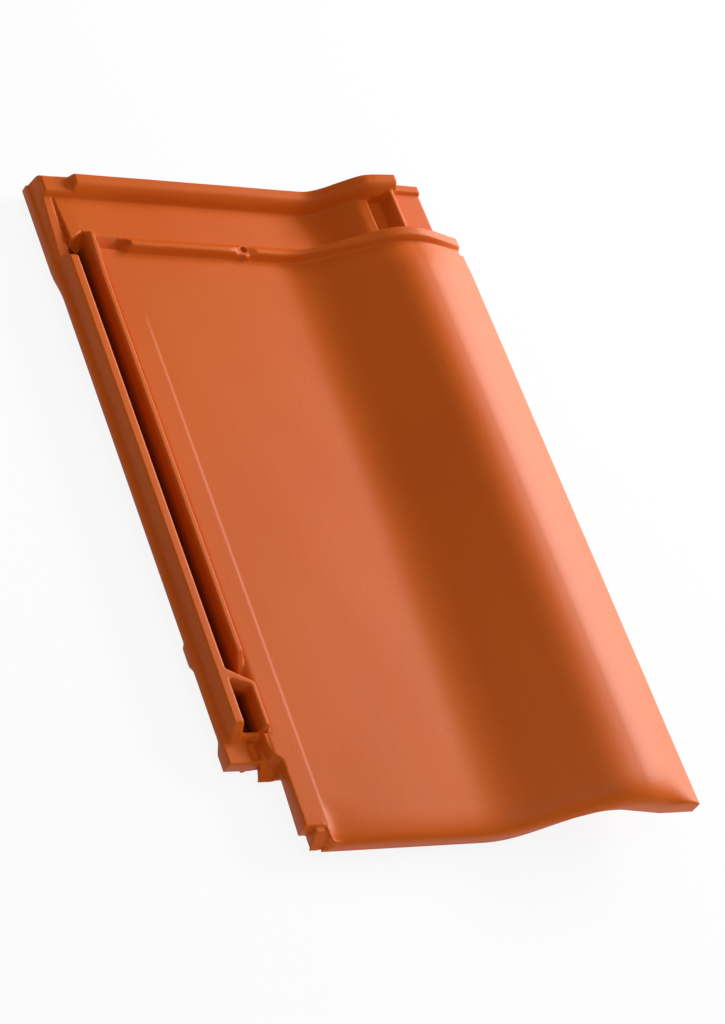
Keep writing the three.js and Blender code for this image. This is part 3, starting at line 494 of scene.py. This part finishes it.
upperSkin = {  # each stretch of grid lines is (start, end, step)
    "round": 1.0, "shares": (0.0, 0.13, 0.5, 1.0),
    "x": [(-30, -27, 0.75), (-27, -16, 0.5), (-16, -8, 0.9), (-8, 0, 0.5), (0, 14, 1.1), (14, 22, 0.7),
          (22, 29, 1.2), (29, 97, 5.5), (97, 119, 0.8), (119, 160, 3.0), (160, 203, 2.2),
          (203, 229, 0.75), (229, 250, 2.2), (250, 267, 1.3)],
    "y": [(-10, 2, 0.75), (2, 22, 1.8), (22, 36, 3.2), (36, 70, 0.8), (70, 84, 1.8), (84, 117, 0.85),
          (117, 132, 2.5), (132, 360, 10.0), (360, 392, 3.0), (392, 407, 1.5), (407, 471, 0.68)],
}
lowerSkin = {
    "round": 0.4, "shares": (0.0, 1.0),
    "x": [(-30, -14, 1.0), (-14, 22, 2.5), (22, 31, 0.9), (31, 59, 7.0), (59, 63, 0.8), (63, 97, 8.0),
          (97, 113, 1.6), (113, 124, 4.0), (124, 128, 0.8), (128, 132, 1.4), (132, 136, 0.8),
          (136, 164, 2.8), (164, 168, 0.8), (168, 237, 2.6), (237, 246, 0.75), (246, 257, 2.5),
          (257, 267, 0.8)],
    "y": [(-10, 8, 1.4), (8, 21, 0.8), (21, 34, 3.0), (34, 48, 0.9), (48, 64, 1.5), (64, 116, 6.0),
          (116, 135, 1.0), (135, 365, 12.0), (365, 374, 1.0), (374, 406, 2.5), (406, 428, 0.9),
          (428, 438, 2.0), (438, 456, 0.7), (456, 471, 1.5)],
}


def gridLines(skin, axis):  # lines of a skin along one axis, closer together along the outline
    hole = [(nail[axis] - meshing["holeHalf"], -1), (nail[axis] + meshing["holeHalf"], 1)]
    fixed = [place + side * skin["round"] * share
             for place, side in sidesOfClay[axis] + hole for share in skin["shares"]]
    lines = []
    for start, end, step in skin[axis]:
        count = max(1, round((end - start) / step))
        lines += [start + (end - start) * i / count for i in range(count)]
    lines.append(skin[axis][-1][1])
    lines = [line for line in lines if min(abs(line - place) for place in fixed) > meshing["leastGap"]]
    return np.array(sorted(set(round(line, 4) for line in lines + fixed)))


def outlineEdges():
    return zip(outline, outline[1:] + outline[:1])


def insideOutline(x, y):
    inside = np.zeros(np.shape(x), bool)
    for (ax, ay), (bx, by) in outlineEdges():
        crosses = (ay > y) != (by > y)
        with np.errstate(divide="ignore", invalid="ignore"):
            at = ax + (y - ay) * (bx - ax) / (by - ay)
        inside ^= crosses & (x < at)
    return inside


def alongOutline(x, y):  # the distance to the outline, and how far round it the nearest place lies
    nearest = np.full(np.shape(x), 1e9)
    place = np.zeros(np.shape(x))
    start = 0
    for (ax, ay), (bx, by) in outlineEdges():
        dx, dy = bx - ax, by - ay
        t = clamp(((x - ax) * dx + (y - ay) * dy) / (dx * dx + dy * dy))
        away = np.hypot(x - ax - t * dx, y - ay - t * dy)
        place = np.where(away < nearest, start + t * math.hypot(dx, dy), place)
        nearest = np.minimum(nearest, away)
        start += math.hypot(dx, dy)
    return nearest, place


def blurred(field, step, reach):
    radius = int(3 * reach / step)  # beyond three times the reach nothing is left of the weights
    taps = np.exp(-0.5 * (np.arange(-radius, radius + 1) * step / reach) ** 2)
    for axis in (0, 1):
        field = np.apply_along_axis(lambda row: np.convolve(row, taps, "same"), axis, field)
    return field


def softenedField(heights):  # the heights on an even fine grid, every edge softened as in a press mould
    step = meshing["fieldStep"]
    xs = np.arange(*meshing["fieldX"], step)
    ys = np.arange(*meshing["fieldY"], step)
    gx, gy = np.meshgrid(xs, ys, indexing="ij")
    inside = insideOutline(gx, gy)
    weight = blurred(inside.astype(float), step, meshing["soften"])
    smooth = blurred(np.where(inside, heights(gx, gy), 0.0), step, meshing["soften"])
    smooth = smooth / np.maximum(weight, 1e-9)

    def sample(x, y):
        fx = np.clip((x - xs[0]) / step, 0, len(xs) - 1.001)
        fy = np.clip((y - ys[0]) / step, 0, len(ys) - 1.001)
        i, j = fx.astype(int), fy.astype(int)
        tx, ty = fx - i, fy - j
        front = mix(smooth[i, j], smooth[i + 1, j], tx)
        back = mix(smooth[i, j + 1], smooth[i + 1, j + 1], tx)
        return mix(front, back, ty)
    return sample


def bentGrid(u, v):  # bends the grid lines along the slanted front block and around the nail hole
    block = frontBlocks
    reach = sideLock["frontY"] - block["frontY"]
    slant = (block["backX"] - block["frontX"]) / reach
    fade = reach * (meshing["bendEnd"] - v) / meshing["bendFade"]
    shift = slant * np.clip(np.minimum(v - block["frontY"], fade), 0, reach)
    near = clamp(1 - np.abs(u - block["frontX"]) / meshing["bendWidth"])
    x, y = u + shift * near, v + 0 * u
    du, dv = u - nail["x"], v - nail["y"]
    square = np.maximum(np.abs(du), np.abs(dv))
    inner, outer = meshing["holeHalf"], meshing["holeReach"]
    t = clamp((square - inner) / (outer - inner))
    length = np.maximum(np.hypot(du, dv), 1e-6)
    radius = nail["radius"] + (outer - nail["radius"]) * t
    bend = (square < outer) & (square > inner - 1e-3)
    x = np.where(bend, mix(nail["x"] + du / length * radius, x, ease(t)), x)
    y = np.where(bend, mix(nail["y"] + dv / length * radius, y, ease(t)), y)
    return x, y


waves = {  # heights, wave lengths and starts of the three waves
    "broad": (0.06, 23.0, 1.3, 41.0, 0.4), "slanted": (0.04, 9.5, 31.0), "along": (0.03, 13.0, 2.1, 47.0),
}


def waviness(x, y):  # the faint unevenness of pressed clay, a tenth of a millimetre, never above its face
    broad, lengthX, startX, lengthY, startY = waves["broad"]
    z = broad * np.sin(x / lengthX + startX) * np.sin(y / lengthY + startY)
    slanted, lengthX, lengthY = waves["slanted"]
    z = z + slanted * np.sin(x / lengthX + y / lengthY)
    along, lengthY, start, lengthX = waves["along"]
    z = z + along * np.sin(y / lengthY + start + x / lengthX)
    return z - broad - slanted - along


def rounded(distance, radius):
    inward = np.clip(radius - distance, 0, radius)
    return radius - np.sqrt(radius * radius - inward * inward)


def makeSkin(skin):  # the grid places of a skin, its four-sided faces and its two rims in order
    u, v = np.meshgrid(gridLines(skin, "x"), gridLines(skin, "y"), indexing="ij")
    x, y = bentGrid(u, v)

    def middles(grid):
        return (grid[:-1, :-1] + grid[1:, :-1] + grid[:-1, 1:] + grid[1:, 1:]) / 4

    fromHole = np.maximum(np.abs(middles(u) - nail["x"]), np.abs(middles(v) - nail["y"]))
    filled = insideOutline(middles(x), middles(y)) & (fromHole > meshing["holeHalf"])
    number = np.arange(u.size).reshape(u.shape)
    quads = np.stack([number[:-1, :-1], number[1:, :-1], number[1:, 1:], number[:-1, 1:]], -1)[filled]
    around = np.pad(filled, 1).astype(int)
    touching = around[:-1, :-1] + around[1:, :-1] + around[:-1, 1:] + around[1:, 1:]
    rim = np.flatnonzero((touching > 0) & (touching < 4))
    x, y = x.ravel(), y.ravel()
    away = np.hypot(x - nail["x"], y - nail["y"])
    near = away[rim] < nail["radius"] + meshing["holeNear"]
    atHole, outer = rim[near], rim[~near]
    distance, place = alongOutline(x, y)
    angle = np.arctan2(y - nail["y"], x - nail["x"])
    rims = [(outer[np.argsort(place[outer])], place), (atHole[np.argsort(angle[atHole])], angle)]
    distance = np.minimum(distance, np.abs(away - nail["radius"]) + nail["rim"])
    return x, y, distance, quads, rims


def joinRims(above, placeAbove, below, placeBelow):  # a strip of triangles between two rims
    faces = []
    i = j = 0
    while i < len(above) or j < len(below):
        nextAbove = placeAbove[above[i + 1]] if i + 1 < len(above) else math.inf
        nextBelow = placeBelow[below[j + 1]] if j + 1 < len(below) else math.inf
        a, b = above[i % len(above)], below[j % len(below)]
        if i < len(above) and (nextAbove <= nextBelow or j >= len(below)):
            faces.append((("above", a), ("below", b), ("above", above[(i + 1) % len(above)])))
            i += 1
        else:
            faces.append((("above", a), ("below", b), ("below", below[(j + 1) % len(below)])))
            j += 1
    return faces


def makeTile():
    field = {"above": softenedField(topHeights), "below": softenedField(bottomHeights)}
    skins = {"above": makeSkin(upperSkin), "below": makeSkin(lowerSkin)}
    x, y, distance, topFaces, topRims = skins["above"]
    top = field["above"](x, y) + waviness(x, y) - rounded(distance, upperSkin["round"])
    points = [np.stack([x, y, top], -1)]
    x, y, distance, bottomFaces, bottomRims = skins["below"]
    bottom = field["below"](x, y) + rounded(distance, lowerSkin["round"])
    highest = field["above"](x, y) - meshing["leastClay"] - rounded(distance, upperSkin["round"])
    bottom = np.minimum(bottom, highest)
    # the left side of the strip leans in towards the bottom
    atEdge = (x >= 0) & (x < pan["edgeLeanReach"]) & (y < pan["edgeLeanEnd"])
    lean = pan["edgeLean"] * clamp(1 - x / pan["edgeLeanFade"]) * atEdge
    points.append(np.stack([x + lean, y, bottom], -1))
    shift = len(points[0])
    faces = topFaces.tolist() + (bottomFaces[:, ::-1] + shift).tolist()
    for topRim, bottomRim, turned in zip(topRims, bottomRims, (False, True)):
        for face in joinRims(*topRim, *bottomRim):
            face = [number + (shift if skin == "below" else 0) for skin, number in face]
            faces.append(face[::-1] if turned else face)
    points = np.concatenate(points) + np.array(toRow)
    used = np.unique(np.concatenate([topFaces.ravel(), bottomFaces.ravel() + shift]))
    renumber = np.zeros(len(points), int)
    renumber[used] = np.arange(len(used))
    mesh = bpy.data.meshes.new("clayTile")
    mesh.from_pydata((points[used] / 1000).tolist(), [], [renumber[face].tolist() for face in faces])
    mesh.validate()
    mesh.shade_smooth()
    tile = bpy.data.objects.new("clayTile", mesh)
    bpy.context.scene.collection.objects.link(tile)
    print("tile mesh:", sum(len(face) - 2 for face in faces), "triangles")
    return tile


clayLook = {
    "colour": (0.70, 0.119, 0.0045), "dark": (0.65, 0.104, 0.0035), "light": (0.73, 0.137, 0.0085),
    # painted shade: a near-black clay colour, painted low in the channel between the rails as shade
    "paintedShade": (0.10, 0.013, 0.001), "roughness": (0.42, 0.48), "specular": 0.18,
    # each noise: scale, detail, roughness and stretch, then the stretch of its values that is used
    "clouds": (9, 4, 0.55, (1, 1, 1)), "cloudRange": (0.15, 0.55),
    "streaks": (14, 5, 0.6, (1.0, 0.22, 1.0)), "streakRange": (0.52, 0.95),
    "specks": (420, 3, 0.6, (1, 1, 1)), "speckRange": (0.62, 1.2),
    "grain": (1500, 4, 0.65, (1, 1, 1)),
    "bump": 0.25, "speckHeight": 0.0003, "grainHeight": 0.0001,
}
# Where the painted shade lies, in metres: each line is an axis, where it starts and where it is full.
paintedShadePlace = [
    ("X", -0.137, -0.1364), ("X", -0.1245, -0.1251), ("Y", -0.1665, -0.1659), ("Y", 0.189, 0.1884),
    ("Z", 0.0175, 0.0095), ("Z", 0.0045, 0.0065),
]


def clayMaterial():
    material = bpy.data.materials.new("firedClay")
    material.use_nodes = True
    nodes, links = material.node_tree.nodes, material.node_tree.links
    shader = nodes["Principled BSDF"]
    shader.inputs["Specular IOR Level"].default_value = clayLook["specular"]
    place = nodes.new("ShaderNodeTexCoord")

    def noise(scale, detail, rough, stretch):
        mapping = nodes.new("ShaderNodeMapping")
        mapping.inputs["Scale"].default_value = stretch
        links.new(place.outputs["Object"], mapping.inputs["Vector"])
        node = nodes.new("ShaderNodeTexNoise")
        node.inputs["Scale"].default_value = scale
        node.inputs["Detail"].default_value = detail
        node.inputs["Roughness"].default_value = rough
        links.new(mapping.outputs["Vector"], node.inputs["Vector"])
        return node.outputs["Fac"]

    def blend(a, b, factor, low, high):
        fit = nodes.new("ShaderNodeMapRange")
        fit.inputs["From Min"].default_value = low
        fit.inputs["From Max"].default_value = high
        links.new(factor, fit.inputs["Value"])
        node = nodes.new("ShaderNodeMix")
        node.data_type = "RGBA"
        links.new(fit.outputs["Result"], node.inputs["Factor"])
        for socket, value in ((node.inputs[6], a), (node.inputs[7], b)):
            if isinstance(value, tuple):
                socket.default_value = (*value, 1)
            else:
                links.new(value, socket)
        return node.outputs[2]

    def paintedShadeInChannel():  # painted shade: 1 low down between the two rails, where the clay is coloured near-black to stand in for the shade there
        parts = nodes.new("ShaderNodeSeparateXYZ")
        links.new(place.outputs["Object"], parts.inputs[0])
        share = None
        for axis, start, full in paintedShadePlace:
            fit = nodes.new("ShaderNodeMapRange")
            fit.inputs["From Min"].default_value, fit.inputs["From Max"].default_value = start, full
            links.new(parts.outputs[axis], fit.inputs["Value"])
            both = nodes.new("ShaderNodeMath")
            both.operation = "MULTIPLY"
            both.inputs[0].default_value = 1
            if share:
                links.new(share, both.inputs[0])
            links.new(fit.outputs["Result"], both.inputs[1])
            share = both.outputs[0]
        return share

    def bump(height, distance):
        node = nodes.new("ShaderNodeBump")
        node.inputs["Strength"].default_value = clayLook["bump"]
        node.inputs["Distance"].default_value = distance
        links.new(height, node.inputs["Height"])
        return node

    clouds, streaks = noise(*clayLook["clouds"]), noise(*clayLook["streaks"])
    specks, grain = noise(*clayLook["specks"]), noise(*clayLook["grain"])
    colour = blend(clayLook["dark"], clayLook["colour"], clouds, *clayLook["cloudRange"])
    colour = blend(colour, clayLook["light"], streaks, *clayLook["streakRange"])
    colour = blend(colour, clayLook["dark"], specks, *clayLook["speckRange"])
    # painted shade: the clay is coloured near-black low in the channel between the rails
    colour = blend(colour, clayLook["paintedShade"], paintedShadeInChannel(), 0, 1)
    links.new(colour, shader.inputs["Base Color"])
    gloss = nodes.new("ShaderNodeMapRange")
    gloss.inputs["To Min"].default_value, gloss.inputs["To Max"].default_value = clayLook["roughness"]
    links.new(specks, gloss.inputs["Value"])
    links.new(gloss.outputs["Result"], shader.inputs["Roughness"])
    coarse = bump(specks, clayLook["speckHeight"])
    fine = bump(grain, clayLook["grainHeight"])
    links.new(coarse.outputs["Normal"], fine.inputs["Normal"])
    links.new(fine.outputs["Normal"], shader.inputs["Normal"])
    return material


tile = makeTile()
tile.data.materials.append(clayMaterial())
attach(tile, "root")
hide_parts("roof_tile")
print("tile finished")

# The studio, in metres: floor, lights and camera.
studio = {
    "floorHalf": 6.0, "floorRoughness": 0.9, "floor": 0.85, "floorSeen": 0.95, "whiteness": 0.9, "world": 0.2,
    "key": {"place": (1.85, 0.67, 0.985), "size": (1.6, 0.6), "power": 56},
    "top": {"place": (0.0, -0.2, 2.38), "size": (1.5, 1.5), "power": 12},
    "rim": {"place": (1.97, 0.95, 0.18), "size": (1.6, 0.4), "power": 12},
    "front": {"place": (0.1, -2.6, 0.1), "size": (2.4, 0.16), "power": 10},
    "camera": (-1.0997, -0.9659, 1.3344), "lens": 112.98,
    "right": (0.8271, -0.3183, 0.4633), "up": (-0.0115, 0.8145, 0.5801),
}


def makeFloor():
    mesh = bpy.data.meshes.new("floor")
    half = studio["floorHalf"]
    corners = [(-half, -half, 0), (half, -half, 0), (half, half, 0), (-half, half, 0)]
    mesh.from_pydata(corners, [], [(0, 1, 2, 3)])
    floor = bpy.data.objects.new("floor", mesh)
    bpy.context.scene.collection.objects.link(floor)
    material = bpy.data.materials.new("paleFloor")
    material.use_nodes = True
    nodes, links = material.node_tree.nodes, material.node_tree.links
    shader = nodes["Principled BSDF"]
    shader.inputs["Roughness"].default_value = studio["floorRoughness"]
    shader.inputs["Specular IOR Level"].default_value = 0.0
    white = nodes.new("ShaderNodeEmission")  # the camera sees it nearly white, with the shadow left in
    path = nodes.new("ShaderNodeLightPath")
    seen = path.outputs["Is Camera Ray"]
    for ray in ("Is Glossy Ray", "Is Transmission Ray"):
        both = nodes.new("ShaderNodeMath")
        both.operation = "MAXIMUM"
        links.new(seen, both.inputs[0])
        links.new(path.outputs[ray], both.inputs[1])
        seen = both.outputs[0]
    colour = nodes.new("ShaderNodeMix")
    colour.data_type = "RGBA"
    colour.inputs[6].default_value = (studio["floor"],) * 3 + (1,)
    colour.inputs[7].default_value = (studio["floorSeen"],) * 3 + (1,)
    links.new(seen, colour.inputs["Factor"])
    links.new(colour.outputs[2], shader.inputs["Base Color"])
    share = nodes.new("ShaderNodeMath")
    share.operation = "MULTIPLY"
    share.inputs[1].default_value = studio["whiteness"]
    links.new(seen, share.inputs[0])
    blend = nodes.new("ShaderNodeMixShader")
    links.new(share.outputs[0], blend.inputs["Fac"])
    links.new(shader.outputs["BSDF"], blend.inputs[1])
    links.new(white.outputs["Emission"], blend.inputs[2])
    links.new(blend.outputs["Shader"], nodes["Material Output"].inputs["Surface"])
    mesh.materials.append(material)


def areaLight(name, place, size, power):  # a flat lamp that faces the tile, long side level
    light = bpy.data.lights.new(name, "AREA")
    light.shape = "RECTANGLE"
    light.size, light.size_y = size
    light.energy = power
    lamp = bpy.data.objects.new(name, light)
    lamp.location = place
    lamp.rotation_euler = (-Vector(place)).to_track_quat("-Z", "Y").to_euler()
    bpy.context.scene.collection.objects.link(lamp)


def makeCamera():
    data = bpy.data.cameras.new("camera")
    data.lens = studio["lens"]
    camera = bpy.data.objects.new("camera", data)
    right, up = Vector(studio["right"]).normalized(), Vector(studio["up"]).normalized()
    back = right.cross(up).normalized()
    turn = Matrix((right, up, back)).transposed().to_4x4()
    camera.matrix_world = Matrix.Translation(studio["camera"]) @ turn
    bpy.context.scene.collection.objects.link(camera)
    bpy.context.scene.camera = camera


makeFloor()
areaLight("keyLight", **studio["key"])
areaLight("topLight", **studio["top"])
areaLight("rimLight", **studio["rim"])
areaLight("frontLight", **studio["front"])
world = bpy.data.worlds.new("studioWorld")
bpy.context.scene.world = world
world.use_nodes = True
sky = world.node_tree.nodes["Background"]
sky.inputs["Color"].default_value = (1, 1, 1, 1)
sky.inputs["Strength"].default_value = studio["world"]
makeCamera()
bpy.context.scene.view_settings.view_transform = "Standard"
print("studio ready")
